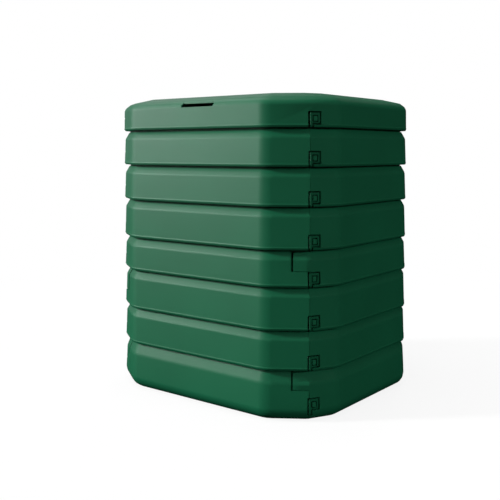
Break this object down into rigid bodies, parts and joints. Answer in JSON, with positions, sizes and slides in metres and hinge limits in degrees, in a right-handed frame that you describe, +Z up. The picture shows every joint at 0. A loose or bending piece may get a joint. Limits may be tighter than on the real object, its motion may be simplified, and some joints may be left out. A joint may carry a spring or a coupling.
{
  "type": "compost bin",
  "caption": "Stacking garden compost bin: hollow green plastic wall rings with bevelled corners and lock clips, a rounded base with a pull-out front hatch, and a hinged domed lid.",
  "frame": {"origin": "on the ground below the middle of the bin", "axes": "+Z up, the front with the lid's hand slot and the hatch towards -Y, +X to the right seen from the front"},
  "size_m": [0.864, 0.75, 0.972],
  "materials": {
    "green_plastic": "satin moulded",
    "clip_plastic": "satin moulded",
    "pin_steel": "zinc plated"
  },
  "bodies": {
    "bin": {"base_back_panel": "green_plastic", "base_corner_locks": "clip_plastic", "base_left_panel": "green_plastic", "base_right_panel": "green_plastic", "lid_hinge_pins": "pin_steel", "ring1_back_panel": "green_plastic", "ring1_corner_locks": "clip_plastic", "ring1_front_panel": "green_plastic", "ring1_left_panel": "green_plastic", "ring1_right_panel": "green_plastic", "ring2_back_panel": "green_plastic", "ring2_corner_locks": "clip_plastic", "ring2_front_panel": "green_plastic", "ring2_left_panel": "green_plastic", "ring2_right_panel": "green_plastic", "ring3_back_panel": "green_plastic", "ring3_corner_locks": "clip_plastic", "ring3_front_panel": "green_plastic", "ring3_left_panel": "green_plastic", "ring3_right_panel": "green_plastic", "ring4_back_panel": "green_plastic", "ring4_corner_locks": "clip_plastic", "ring4_front_panel": "green_plastic", "ring4_left_panel": "green_plastic", "ring4_right_panel": "green_plastic", "ring5_back_panel": "green_plastic", "ring5_corner_locks": "clip_plastic", "ring5_front_panel": "green_plastic", "ring5_left_panel": "green_plastic", "ring5_right_panel": "green_plastic", "ring6_back_panel": "green_plastic", "ring6_corner_locks": "clip_plastic", "ring6_front_panel": "green_plastic", "ring6_left_panel": "green_plastic", "ring6_right_panel": "green_plastic"},
    "lid": {"lid_shell": "green_plastic", "lid_corner_locks": "clip_plastic"},
    "hatch": {"base_hatch": "green_plastic"}
  },
  "joints": [
    {"name": "lid_hinge", "type": "hinge", "parent": "bin", "child": "lid", "pos_m": [0, 0.365, 0.857], "axis": [-1, 0, 0], "range_deg": [0, 100]},
    {"name": "hatch_pull", "type": "slide", "parent": "bin", "child": "hatch", "axis": [0, -1, 0], "range_m": [0, 0.3]}
  ]
}
